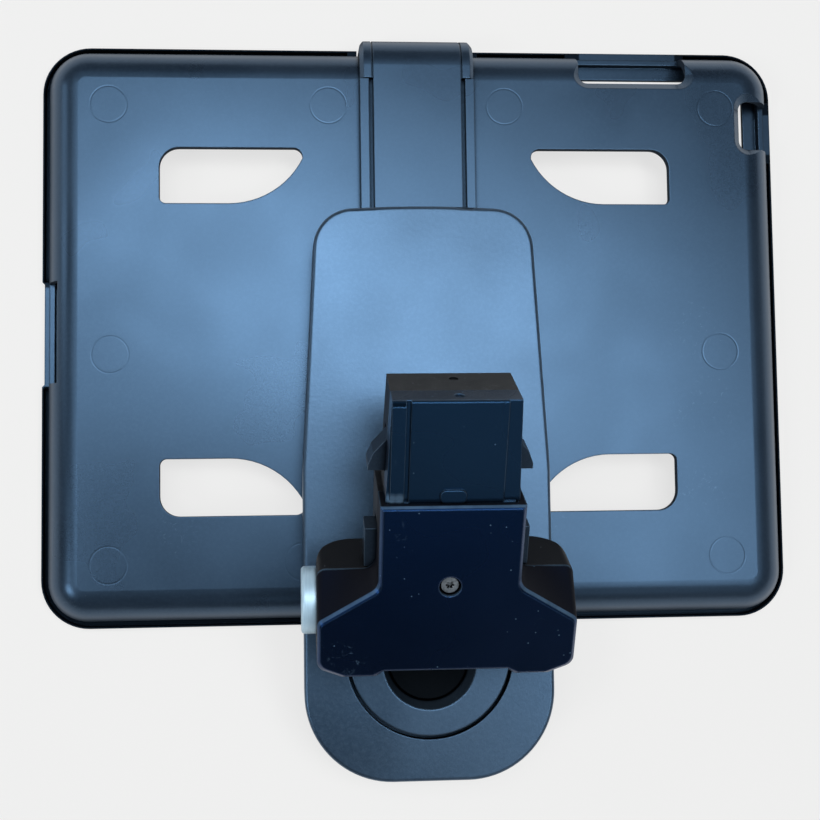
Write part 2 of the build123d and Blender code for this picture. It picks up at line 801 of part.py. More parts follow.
with BuildPart() as disc_retainer:
    with BuildSketch(Plane.XY.offset(retainer_top - retainer_thickness)):
        with Locations((0, disc_y)):
            Circle(retainer_radius)
    extrude(amount=retainer_thickness)
    with BuildSketch(Plane.XY.offset(retainer_top - retainer_thickness)):
        with Locations((-neck_screw_x, neck_screw_y), (neck_screw_x, neck_screw_y)):
            Circle(screw_head_radius + screw_hole_gap)
    extrude(amount=screw_head_height, taper=math.degrees(
        math.atan2(screw_head_radius - screw_radius, screw_head_height)), mode=Mode.SUBTRACT)
    with BuildSketch(Plane.XY.offset(retainer_top - retainer_thickness)):
        with Locations((-neck_screw_x, neck_screw_y), (neck_screw_x, neck_screw_y)):
            Circle(screw_radius + screw_hole_gap)
    extrude(amount=retainer_thickness, mode=Mode.SUBTRACT)
finish(disc_retainer, "disc_retainer")

# Hinge neck: a slanted web with a barrel across its top
foot_front = disc_y + neck_foot_front
foot_rear = foot_front + neck_foot_depth
lean = math.atan2(hinge_z - recess_floor, hinge_y - (foot_front + foot_rear) / 2)
across_y = math.sin(lean) * neck_thickness / 2
across_z = math.cos(lean) * neck_thickness / 2
with BuildPart() as hinge_neck:
    with BuildSketch(Plane.YZ):
        with BuildLine():
            Polyline(
                (foot_front, recess_floor),
                (foot_rear, recess_floor),
                (hinge_y + across_y, hinge_z - across_z),
                (hinge_y - across_y, hinge_z + across_z),
                close=True,
            )
        make_face()
    extrude(amount=neck_half_width, both=True)
    fillet(
        edges().filter_by(Axis.X, reverse=True).filter_by(
            lambda edge: abs(edge.center().Z - recess_floor) > neck_edge_round
            and abs(edge.center().Z - hinge_z) > neck_edge_round
        ),
        radius=neck_edge_round,
    )
    with BuildSketch(hinge_section(-barrel_half_length)):
        Circle(barrel_radius)
    extrude(amount=2 * barrel_half_length)
    with BuildSketch(hinge_section(-barrel_half_length)):
        Circle(axle_radius + running_clearance)
    extrude(amount=2 * barrel_half_length, mode=Mode.SUBTRACT)
    # Foot plate, which covers the floor of the disc's recess
    floor_radius = disc_recess_radius - (arm_front - recess_floor) * math.tan(math.radians(disc_recess_taper))
    with BuildSketch(Plane.XY.offset(recess_floor)):
        with Locations((0, disc_y)):
            SlotCenterToCenter(disc_recess_stretch, 2 * (floor_radius - neck_plate_gap), rotation=90)
    extrude(amount=neck_plate_thickness)
    with BuildSketch(Plane.XY.offset(recess_floor)):
        with Locations((-neck_screw_x, neck_screw_y), (neck_screw_x, neck_screw_y)):
            Circle(screw_radius + screw_hole_gap)
    extrude(amount=neck_screw_depth, mode=Mode.SUBTRACT)
finish(hinge_neck, "hinge_neck")

with BuildPart() as screw_neck:
    with BuildSketch(Plane.XZ):
        screw_profile(screw_head_radius, screw_head_height, neck_screw_length)
    revolve(axis=Axis.Z)

with BuildPart() as neck_screws:
    with Locations(*[(sign * neck_screw_x, neck_screw_y, retainer_top - retainer_thickness)
                     for sign in (-1, 1)]):
        add(screw_neck.part)
finish(neck_screws, "neck_screws")

# Hinge axle, its brake, and the button that pushes them
with BuildPart() as hinge_axle:
    with BuildSketch(hinge_section(-axle_left_end)):
        Circle(axle_radius)
    extrude(amount=axle_left_end + axle_right_end)
    chamfer(edges(), length=axle_bevel)
finish(hinge_axle, "hinge_axle")

with BuildPart() as lock_disc:
    with BuildSketch(hinge_section(barrel_end)):
        Circle(lock_disc_radius)
        Circle(axle_radius, mode=Mode.SUBTRACT)
    extrude(amount=lock_disc_thickness)
finish(lock_disc, "lock_disc")

with BuildPart() as lock_spring:
    for cone in range(lock_spring_count):
        start = lock_disc_end + cone * (lock_spring_gauge + lock_spring_rise)
        near, far = (0, lock_spring_rise) if cone % 2 == 0 else (lock_spring_rise, 0)
        with BuildSketch(Plane(origin=(0, hinge_y, hinge_z), x_dir=(1, 0, 0), z_dir=(0, 0, 1))):
            with BuildLine():
                Polyline(
                    (start + near, axle_radius + lock_spring_gap),
                    (start + near + lock_spring_gauge, axle_radius + lock_spring_gap),
                    (start + far + lock_spring_gauge, lock_spring_radius),
                    (start + far, lock_spring_radius),
                    close=True,
                )
            make_face()
        revolve(axis=Axis((0, hinge_y, hinge_z), (1, 0, 0)))
finish(lock_spring, "lock_spring")

with BuildPart() as friction_washer:
    with BuildSketch(hinge_section(-left_rib)):
        Circle(friction_washer_radius)
        Circle(axle_radius + washer_gap, mode=Mode.SUBTRACT)
    extrude(amount=friction_washer_thickness)
finish(friction_washer, "friction_washer")

with BuildPart() as tilt_button:
    with BuildSketch(hinge_section(-wing_half_width - button_proud)):
        Circle(button_radius)
    extrude(amount=button_proud + button_engaged)
    fillet(edges().group_by(Axis.X)[0], radius=button_edge_round)
    with BuildSketch(hinge_section(-button_inner)):
        Circle(axle_radius)
    extrude(amount=-button_socket, mode=Mode.SUBTRACT)
finish(tilt_button, "tilt_button")

# Rear half of the plug, with the rear half of its nose
inner_half_width = stem_half_width - cover_wall
inner_wing = wing_half_width - cover_wall
left_inner_wing = wing_half_width - end_wall
lever_slot_rear = lever_rear - lever_gap
wing_floor = wing_rear + cover_front_wall
stem_floor = stem_rear + cover_wall
boss_top = front_height - cover_front_wall - cover_pad_height


def plug_box(x_low, x_high, low, high):
    """Rectangle across the plug, drawn in the current sketch."""
    Polygon((x_low, low), (x_high, low), (x_high, high), (x_low, high), align=None)


def section_box(x_low, x_high, rear, front):
    """Rectangle on a plane square to the plug's length, drawn in the current sketch."""
    Polygon((x_low, -front), (x_high, -front), (x_high, -rear), (x_low, -rear), align=None)


def nose_outline(low, high):
    """Tapered outline of the nose between two lengths, drawn in the current sketch."""
    taper = (nose_base_half_width - nose_half_width) / (nose_end - stem_top)
    low_half = nose_base_half_width - taper * (low - stem_top)
    high_half = nose_base_half_width - taper * (high - stem_top)
    Polygon((-low_half, low), (low_half, low), (high_half, high), (-high_half, high), align=None)


with BuildPart() as plug_body:
    with BuildSketch(plug_level(seam_height)):
        add(t_outline(stem_half_width, stem_top, shoulder_length, shoulder_length, wing_half_width, 0, True))
    extrude(amount=wing_rear - seam_height)
    # Rear corners, rounded along the whole of each wing
    with BuildSketch(plug_section(bulge_bottom)) as rear_shape:
        section_box(-wing_half_width, wing_half_width, wing_rear, seam_height)
        fillet(rear_shape.vertices().group_by(Axis.Y)[-1], radius=wing_rear_round)
    extrude(amount=stem_top - bulge_bottom, mode=Mode.INTERSECT)
    with BuildSketch(plug_level(stem_rear)):
        plug_box(-wing_half_width, wing_half_width, shoulder_length, nose_end)
    extrude(amount=2 * wing_rear, mode=Mode.SUBTRACT)
    # Nose, from inside the stem to its end
    with BuildSketch(plug_level(nose_rear_height)):
        nose_outline(stem_top, nose_end)
    extrude(amount=seam_height - nose_rear_height)
    with BuildSketch(plug_section(nose_end)):
        with Locations((nose_mark_x, -nose_rear_mark)):
            Circle(nose_mark_radius)
    extrude(amount=-nose_mark_depth, mode=Mode.SUBTRACT)
    # Hollow of the wings and of the stem, which ends at the root of the nose
    with BuildSketch(plug_section(middle_bottom + cover_wall)) as wing_space:
        section_box(-left_inner_wing, inner_wing, wing_floor, seam_height)
        fillet(
            wing_space.vertices().group_by(Axis.Y)[-1].sort_by(Axis.X)[-1],
            radius=wing_rear_round - cover_wall,
        )
    extrude(amount=shoulder_length - middle_bottom - 2 * cover_wall, mode=Mode.SUBTRACT)
    with BuildSketch(plug_level(seam_height)):
        plug_box(-inner_half_width, inner_half_width, 0, nose_tenon)
    extrude(amount=stem_floor - seam_height, mode=Mode.SUBTRACT)
    # Room for the levers beside the nose's spine, and windows for their tabs and hooks
    with BuildSketch(plug_level(seam_height)):
        for sign in (-1, 1):
            plug_box(sign * lever_room, sign * inner_half_width, nose_tenon, lever_tip + lever_window_gap)
            plug_box(sign * lever_room, sign * wing_half_width, hook_barb - lever_gap, lever_tip + lever_window_gap)
            plug_box(sign * lever_inner, sign * wing_half_width, tab_start - lever_gap, tab_end + lever_window_gap)
    extrude(amount=lever_slot_rear - seam_height, mode=Mode.SUBTRACT)
    # Ribs that carry the axle
    with BuildSketch(plug_level(seam_height)):
        plug_box(-left_rib - rib_thickness, -left_rib, middle_bottom + cover_wall, shoulder_length - cover_wall)
        plug_box(right_rib, right_rib + rib_thickness, middle_bottom + cover_wall, shoulder_length - cover_wall)
    extrude(amount=wing_floor - seam_height)
    # Boss of the cover screw and seats of the lever pins
    with BuildSketch(plug_level(stem_floor)):
        with Locations((0, cover_screw_length)):
            Circle(cover_boss_radius)
    extrude(amount=boss_top - stem_floor)
    with BuildSketch(plug_level(stem_floor)):
        with Locations((-lever_pivot_x, lever_pivot_length), (lever_pivot_x, lever_pivot_length)):
            Circle(lever_eye_radius)
    extrude(amount=lever_slot_rear - stem_floor)
    with BuildSketch(plug_level(stem_floor)):
        with Locations((-lever_pivot_x, lever_pivot_length), (lever_pivot_x, lever_pivot_length)):
            Circle(lever_pin_radius)
    extrude(amount=lever_slot_rear - stem_floor, mode=Mode.SUBTRACT)
    with BuildSketch(plug_level(boss_top)):
        with Locations((0, cover_screw_length)):
            Circle(screw_radius + screw_hole_gap)
    extrude(amount=-cover_hole_depth, mode=Mode.SUBTRACT)
    # Way for the hinge neck, axle holes and the button's recess
    slot_half = neck_half_width + neck_slot_gap
    with BuildSketch(plug_level(seam_height)):
        plug_box(-slot_half, slot_half, 2 * bulge_bottom, neck_slot_top)
    extrude(amount=2 * wing_rear, mode=Mode.SUBTRACT)
    with BuildSketch(hinge_section(-wing_half_width)):
        Circle(axle_radius + running_clearance)
    extrude(amount=wing_half_width + axle_right_end, mode=Mode.SUBTRACT)
    with BuildSketch(hinge_section(-wing_half_width)):
        Circle(button_radius + button_gap)
    extrude(amount=button_engaged + button_travel + button_gap, mode=Mode.SUBTRACT)
finish(plug_body, "plug_body")

# Front cover of the plug
inner_front = front_height - cover_front_wall
front_share = (inner_front - seam_height) / (front_height - seam_height)
inner_shoulder_inner = shoulder_length - cover_wall + (shoulder_front_inner - shoulder_length) * front_share
inner_shoulder_outer = shoulder_length - cover_wall + (shoulder_front_outer - shoulder_length) * front_share

with BuildPart() as cover_space:
    with BuildSketch(plug_level(seam_height)):
        add(t_outline(inner_half_width, stem_top + cover_wall, shoulder_length - cover_wall,
                      shoulder_length - cover_wall, inner_wing, cover_wall, False))
    with BuildSketch(plug_level(inner_front)):
        add(t_outline(inner_half_width, stem_top + cover_wall, inner_shoulder_inner,
                      inner_shoulder_outer, inner_wing, cover_wall, False))
    loft(ruled=True)
    with BuildSketch(plug_level(seam_height)):
        plug_box(-wing_half_width, -left_inner_wing, 2 * bulge_bottom, stem_top)
    extrude(amount=front_height, mode=Mode.SUBTRACT)

with BuildPart() as plug_front_cover:
    with BuildSketch(plug_level(seam_height)):
        add(t_outline(stem_half_width, stem_top, shoulder_length, shoulder_length, wing_half_width, 0, True))
    with BuildSketch(plug_level(front_height - front_edge_bevel)):
        add(t_outline(stem_half_width, stem_top, shoulder_front_inner, shoulder_front_outer,
                      wing_half_width, 0, True))
    loft(ruled=True)
    # Bevelled edge round the front
    with BuildSketch(plug_level(front_height - front_edge_bevel)):
        add(t_outline(stem_half_width, stem_top, shoulder_front_inner, shoulder_front_outer,
                      wing_half_width, 0, True))
    with BuildSketch(plug_level(front_height)):
        add(t_outline(
            stem_half_width - front_edge_bevel,
            stem_top - front_edge_bevel,
            shoulder_front_inner - front_edge_bevel,
            shoulder_front_outer - front_edge_bevel,
            wing_half_width - front_edge_bevel,
            front_edge_bevel,
            True,
        ))
    loft(ruled=True)
    add(cover_space.part, mode=Mode.SUBTRACT)
    # Pad round the cover screw, its counterbore and hole
    with BuildSketch(plug_level(inner_front)):
        with Locations((0, cover_screw_length)):
            Circle(cover_pad_radius)
    extrude(amount=-cover_pad_height)
    with BuildSketch(plug_level(front_height)):
        with Locations((0, cover_screw_length)):
            Circle(cover_screw_bore)
    extrude(amount=-cover_screw_sink - cover_screw_head_height, mode=Mode.SUBTRACT)
    with BuildSketch(plug_level(front_height)):
        with Locations((0, cover_screw_length)):
            Circle(screw_radius + screw_hole_gap)
    extrude(amount=-front_height, mode=Mode.SUBTRACT)
    with BuildSketch(hinge_section(-wing_half_width)):
        Circle(button_radius + button_gap)
    extrude(amount=button_engaged + button_travel + button_gap, mode=Mode.SUBTRACT)
finish(plug_front_cover, "plug_front_cover")

# Front half of the nose, with a tenon inside the cover
strip_edge = nose_half_width - nose_strip_width
with BuildPart() as nose_front:
    with BuildSketch(plug_level(seam_height)):
        nose_outline(stem_top, nose_end)
    extrude(amount=nose_front_height - seam_height)
    with BuildSketch(plug_level(seam_height)):
        plug_box(-nose_tenon_half_width, nose_tenon_half_width, nose_tenon, stem_top)
    extrude(amount=nose_front_height - seam_height)
    # Stepped right edge and the groove beside the guide strip
    with BuildSketch(plug_level(nose_front_height)):
        plug_box(nose_step_x, nose_base_half_width, stem_top, nose_end)
    extrude(amount=-nose_step_depth, mode=Mode.SUBTRACT)
    with BuildSketch(plug_level(nose_front_height)):
        plug_box(-strip_edge, -strip_edge + nose_groove_width, stem_top, nose_end)
    extrude(amount=-nose_groove_depth, mode=Mode.SUBTRACT)
    # Bevel along the end
    with BuildSketch(hinge_section(-nose_base_half_width)):
        Polygon(
            (nose_end - nose_end_bevel, nose_front_height),
            (nose_end, nose_front_height),
            (nose_end, nose_front_height - nose_end_bevel),
            align=None,
        )
    extrude(amount=2 * nose_base_half_width, mode=Mode.SUBTRACT)
    # Guide strip with sloped ends
    with BuildSketch(hinge_section(-nose_half_width)):
        Polygon(
            (stem_top + nose_strip_margin, nose_front_height),
            (stem_top + nose_strip_margin + nose_strip_run, nose_front_height + nose_strip_rise),
            (nose_end - nose_strip_end_run, nose_front_height + nose_strip_rise),
            (nose_end - nose_end_bevel, nose_front_height),
            align=None,
        )
    extrude(amount=nose_strip_width)
    # Small tab at the foot of the nose
    with BuildSketch(plug_level(nose_front_height)):
        with Locations((0, stem_top + nose_tab_length / 2)):
            RectangleRounded(nose_tab_width, nose_tab_length, nose_tab_corner)
    extrude(amount=nose_tab_rise)
    with BuildSketch(plug_section(nose_end)):
        with Locations((nose_mark_x, -nose_front_mark)):
            Circle(nose_mark_radius)
    extrude(amount=-nose_mark_depth, mode=Mode.SUBTRACT)
finish(nose_front, "nose_front")

# Snap levers: an eye, a bar, a release tab and a hook
for side_name, sign in (("left", -1), ("right", 1)):
    with BuildPart() as plug_latch:
        with BuildSketch(plug_level(lever_rear)):
            with BuildLine():
                Polyline(
                    (sign * lever_inner, lever_pivot_length),
                    (sign * (lever_pivot_x + lever_eye_radius), lever_pivot_length),
                    (sign * (lever_pivot_x + lever_eye_radius), tab_start),
                    (sign * tab_reach, tab_start),
                    (sign * tab_reach, tab_end),
                    (sign * lever_outer, tab_end),
                    (sign * lever_outer, hook_barb),
                    (sign * hook_reach, hook_barb),
                    (sign * hook_reach, hook_barb + hook_land),
                    (sign * hook_shoulder_reach, hook_shoulder),
                    (sign * lever_outer, lever_tip),
                    (sign * lever_inner, lever_tip),
                    close=True,
                )
            make_face()
            with Locations((sign * lever_pivot_x, lever_pivot_length)):
                Circle(lever_eye_radius)
                Circle(lever_pin_radius + running_clearance, mode=Mode.SUBTRACT)
        extrude(amount=lever_front - lever_rear)
    finish(plug_latch, f"plug_latch_{side_name}")

with BuildPart() as latch_pins:
    with BuildSketch(plug_level(stem_floor)):
        with Locations((-lever_pivot_x, lever_pivot_length), (lever_pivot_x, lever_pivot_length)):
            Circle(lever_pin_radius)
    extrude(amount=seam_height - stem_floor)
finish(latch_pins, "latch_pins")

with BuildPart() as bow_spring:
    with BuildSketch(plug_level((lever_rear + lever_front - bow_height) / 2)):
        with BuildLine():
            ThreePointArc(
                (-lever_inner + bow_thickness, bow_length),
                (0, bow_length - bow_sag),
                (lever_inner - bow_thickness, bow_length),
            )
        trace(line_width=bow_thickness)
    extrude(amount=bow_height)
finish(bow_spring, "bow_spring")

# Screw of the front cover, with a six-lobe socket
head_bottom = front_height - cover_screw_sink - cover_screw_head_height
with BuildPart() as cover_screw:
    with BuildSketch(plug_level(head_bottom)):
        with Locations((0, cover_screw_length)):
            Circle(cover_screw_head_radius)
    extrude(amount=cover_screw_head_height)
    with BuildSketch(plug_level(head_bottom)):
        with Locations((0, cover_screw_length)):
            Circle(screw_radius)
    extrude(amount=-cover_screw_reach)
    with BuildSketch(plug_level(head_bottom + cover_screw_head_height)):
        with Locations((0, cover_screw_length)):
            Circle(socket_radius)
            with PolarLocations(socket_lobe_pitch_radius, cover_screw_lobes):
                Circle(socket_lobe_radius)
    extrude(amount=-socket_depth, mode=Mode.SUBTRACT)
finish(cover_screw, "cover_screw")
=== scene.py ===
import bmesh
import bpy
import json
import math
from mathutils import Matrix, Vector

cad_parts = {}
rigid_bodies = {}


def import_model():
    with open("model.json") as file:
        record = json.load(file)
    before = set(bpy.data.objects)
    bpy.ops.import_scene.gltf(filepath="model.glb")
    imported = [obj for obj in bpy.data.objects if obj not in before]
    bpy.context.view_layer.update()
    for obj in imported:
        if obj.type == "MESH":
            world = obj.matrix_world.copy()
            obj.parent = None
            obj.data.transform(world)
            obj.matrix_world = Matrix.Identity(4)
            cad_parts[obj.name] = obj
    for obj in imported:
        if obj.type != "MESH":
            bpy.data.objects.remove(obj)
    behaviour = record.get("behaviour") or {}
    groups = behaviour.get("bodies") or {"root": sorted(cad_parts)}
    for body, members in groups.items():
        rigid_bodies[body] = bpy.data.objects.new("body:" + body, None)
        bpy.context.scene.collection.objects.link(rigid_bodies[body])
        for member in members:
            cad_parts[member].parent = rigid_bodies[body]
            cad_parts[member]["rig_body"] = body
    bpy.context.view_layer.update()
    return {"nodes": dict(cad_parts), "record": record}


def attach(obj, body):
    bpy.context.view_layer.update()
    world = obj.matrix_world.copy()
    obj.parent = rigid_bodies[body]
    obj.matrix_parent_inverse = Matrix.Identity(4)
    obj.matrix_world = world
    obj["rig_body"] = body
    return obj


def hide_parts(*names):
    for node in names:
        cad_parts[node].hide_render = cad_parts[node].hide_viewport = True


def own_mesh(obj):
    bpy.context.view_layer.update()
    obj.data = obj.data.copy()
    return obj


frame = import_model()
nodes = frame["nodes"]
scene = bpy.context.scene
scene.view_settings.view_transform = "Standard"

MM = 0.001
RISING = (0.0, 1.0)
FALLING = (1.0, 0.0)

# Where the shell's looks change, in metres
BODY_STRAIGHT = (109.0 * MM, 81.25 * MM)
BODY_EDGE = (13.3 * MM, 13.7 * MM)
RIM_TOP = (4.4 * MM, 5.0 * MM)
BACK_FACE = (14.6 * MM, 14.9 * MM)

# Colours of painted shade, painted reflections, the plug's end face, gloss and light
BLACK = (0.0, 0.0, 0.0)
CREVICE_SHADE = (0.001, 0.001, 0.0015)
METAL_CREVICE_SHADE = (0.004, 0.004, 0.005)
END_FACE_GREY = (0.036, 0.035, 0.033)
BROWN_SIDE_REFLECTION = (0.0060, 0.0052, 0.0048)
# Specular tint, a painted reflection of a blue sky
SKY_REFLECTION_TINT = (0.37, 0.64, 1.0)
LAMP_COLOUR = (0.82, 0.92, 1.0)

# Strengths of the marks and of the painted shade on the plastics
SPARKLE_GAIN = 1.6
STREAK_WEAR = 0.2
RING_DARK = 0.4
RING_TONE = 0.35
RIM_SHADE = 0.88
OPENING_SHADE = 0.15
PAINTED_REFLECTION_SHADE = 0.85
SIDE_ROUGH = 0.65


# Node helpers

def feed(tree, value, target):
    """Links a socket to an input, or sets the input to a number, vector or colour."""
    if isinstance(value, bpy.types.NodeSocket):
        tree.links.new(value, target)
    else:
        target.default_value = value


def math_node(tree, operation, *values):
    """A Math node whose inputs are sockets or numbers."""
    made = tree.nodes.new("ShaderNodeMath")
    made.operation = operation
    for place, value in enumerate(values):
        feed(tree, value, made.inputs[place])
    return made.outputs[0]


def times(tree, first, second):
    return math_node(tree, "MULTIPLY", first, second)


def larger(tree, first, second):
    return math_node(tree, "MAXIMUM", first, second)


def measure(tree, operation, *vectors):
    """A Vector Math node that gives a number, such as a distance or a dot product."""
    made = tree.nodes.new("ShaderNodeVectorMath")
    made.operation = operation
    for place, value in enumerate(vectors):
        feed(tree, value, made.inputs[place])
    return made.outputs["Value"]


def distance(tree, place, x, y, z):
    """Distance from a point that is given in millimetres."""
    return measure(tree, "DISTANCE", place, (x * MM, y * MM, z * MM))


def split(tree, vector):
    """The x, y and z of a vector."""
    made = tree.nodes.new("ShaderNodeSeparateXYZ")
    feed(tree, vector, made.inputs[0])
    return made.outputs


def spread(tree, value, span, out=RISING, smooth=False):
    """Value mapped from a span to another range and held inside it."""
    made = tree.nodes.new("ShaderNodeMapRange")
    made.clamp = True
    made.interpolation_type = "SMOOTHSTEP" if smooth else "LINEAR"
    feed(tree, value, made.inputs["Value"])
    for name, number in zip(("From Min", "From Max", "To Min", "To Max"), (*span, *out)):
        made.inputs[name].default_value = number
    return made.outputs["Result"]


def noise(tree, place, scale, detail, rough, distortion=0.0):
    made = tree.nodes.new("ShaderNodeTexNoise")
    feed(tree, place, made.inputs["Vector"])
    made.inputs["Scale"].default_value = scale
    made.inputs["Detail"].default_value = detail
    made.inputs["Roughness"].default_value = rough
    made.inputs["Distortion"].default_value = distortion
    return made.outputs["Fac"]


def streaks(tree, place, scale, turn=0.0):
    """Noise with a scale for each axis, turned about the vertical by an angle in radians."""
    made = tree.nodes.new("ShaderNodeMapping")
    made.inputs["Scale"].default_value = scale
    made.inputs["Rotation"].default_value = (0.0, 0.0, turn)
    feed(tree, place, made.inputs["Vector"])
    return noise(tree, made.outputs["Vector"], scale=1.0, detail=3.0, rough=0.6)


def blend_colour(tree, factor, first, second):
    """Colour between two, by a factor socket. Each colour is a socket or three numbers."""
    made = tree.nodes.new("ShaderNodeMix")
    made.data_type = "RGBA"
    feed(tree, factor, made.inputs[0])
    for place, value in ((6, first), (7, second)):
        feed(tree, (*value, 1.0) if isinstance(value, tuple) else value, made.inputs[place])
    return made.outputs[2]


def new_material(name):
    made = bpy.data.materials.new(name)
    made.use_nodes = True
    tree = made.node_tree
    shader = tree.nodes["Principled BSDF"]
    place = tree.nodes.new("ShaderNodeTexCoord").outputs["Object"]
    return made, tree, shader, place


def face_normal(tree):
    return tree.nodes.new("ShaderNodeNewGeometry").outputs["Normal"]


def rounded_normal(tree, radius):
    """Normal of the surface with its edges softly rounded."""
    made = tree.nodes.new("ShaderNodeBevel")
    made.samples = 6
    made.inputs["Radius"].default_value = radius
    return made.outputs["Normal"]


def bump(tree, shader, layers, radius):
    """Bump layers (height socket, strength, distance) over softly rounded edges."""
    normal = rounded_normal(tree, radius)
    for height, strength, depth in layers:
        made = tree.nodes.new("ShaderNodeBump")
        made.inputs["Strength"].default_value = strength
        made.inputs["Distance"].default_value = depth
        feed(tree, height, made.inputs["Height"])
        feed(tree, normal, made.inputs["Normal"])
        normal = made.outputs["Normal"]
    feed(tree, normal, shader.inputs["Normal"])


# Masks

def edge_mask(tree, radius, way=None):
    """One along sharp edges and zero on open faces, with less on edges that don't face a given way; the
    more on edges that face it is a painted highlight as well as wear.
    """
    soft = rounded_normal(tree, radius)
    mask = spread(tree, measure(tree, "DOT_PRODUCT", soft, face_normal(tree)), (0.80, 0.99), FALLING)
    if way is None:
        return mask
    lean = measure(tree, "DOT_PRODUCT", soft, way)
    return times(tree, mask, spread(tree, lean, (-0.1, 0.6), (0.25, 1.0)))


def spots(tree, place, centres):
    """One near the given places (x, y, z, radius in millimetres) and zero away from them."""
    total = 0.0
    for x, y, z, radius in centres:
        span = (0.25 * radius * MM, radius * MM)
        near = spread(tree, distance(tree, place, x, y, z), span, FALLING, smooth=True)
        total = larger(tree, total, near)
    return total


def away_from(tree, place, centres, least):
    """One away from the given places (x, y, z, radius in millimetres), and the least value near them."""
    total = 1.0
    for x, y, z, radius in centres:
        span = (radius * MM, (radius + 0.5) * MM)
        clear = spread(tree, distance(tree, place, x, y, z), span, (least, 1.0))
        total = times(tree, total, clear)
    return total


def rings(tree, place, marks):
    """Faint rings of ejector pins, the same on both halves (x, y, radius in millimetres, strength)."""
    parts = split(tree, place)
    flat = tree.nodes.new("ShaderNodeCombineXYZ")
    feed(tree, math_node(tree, "ABSOLUTE", parts[0]), flat.inputs[0])
    feed(tree, parts[1], flat.inputs[1])
    total = 0.0
    for x, y, radius, strength in marks:
        reach = distance(tree, flat.outputs[0], x, y, 0.0)
        off = math_node(tree, "ABSOLUTE", math_node(tree, "SUBTRACT", reach, radius * MM))
        ring = spread(tree, off, (0.05 * MM, 0.40 * MM), (strength, 0.0), smooth=True)
        total = larger(tree, total, ring)
    return times(tree, total, spread(tree, parts[2], BACK_FACE))


def crevice_mask(tree, reach):
    """One deep in gaps and grooves that are narrower than the reach, and zero on open faces; it places
    painted shade.
    """
    hollow = tree.nodes.new("ShaderNodeAmbientOcclusion")
    hollow.samples = 8
    hollow.inputs["Distance"].default_value = reach
    return spread(tree, hollow.outputs["AO"], (0.35, 0.86), FALLING, smooth=True)


def rim_mask(tree, place):
    """One on the low rim around the shell's rounded body, and zero elsewhere; it places painted shade."""
    parts = split(tree, place)
    beyond = tree.nodes.new("ShaderNodeCombineXYZ")
    for axis, straight in enumerate(BODY_STRAIGHT):
        past = math_node(tree, "SUBTRACT", math_node(tree, "ABSOLUTE", parts[axis]), straight)
        feed(tree, larger(tree, past, 0.0), beyond.inputs[axis])
    outside = spread(tree, measure(tree, "LENGTH", beyond.outputs[0]), BODY_EDGE)
    return times(tree, outside, spread(tree, parts[2], RIM_TOP, FALLING))


def steep_mask(tree):
    """One on faces that stand up and zero on faces that lie level."""
    return spread(tree, split(tree, face_normal(tree))[2], (0.25, 0.70), FALLING, smooth=True)


def end_mask(tree, place, mount):
    """One on the end face that a mount stands on, and zero behind it."""
    way = mount["axis"]
    end = Vector(mount["pos_m"]).dot(Vector(way))
    return spread(tree, measure(tree, "DOT_PRODUCT", place, way), (end - 0.30 * MM, end - 0.10 * MM))


def dust(tree, place, amount):
    """Small pale specks, gathered in some places."""
    cells = tree.nodes.new("ShaderNodeTexVoronoi")
    cells.inputs["Scale"].default_value = 480.0
    feed(tree, place, cells.inputs["Vector"])
    chosen = tree.nodes.new("ShaderNodeSeparateColor")
    feed(tree, cells.outputs["Color"], chosen.inputs[0])
    drift = noise(tree, place, scale=70.0, detail=3.0, rough=0.6)
    gathered = spread(tree, drift, (0.42, 0.66), (0.93, 0.55))
    kept = math_node(tree, "GREATER_THAN", chosen.outputs[0], gathered)
    speck = spread(tree, cells.outputs["Distance"], (0.05, 0.11), (amount, 0.0))
    return times(tree, speck, kept)


# Kinds of material

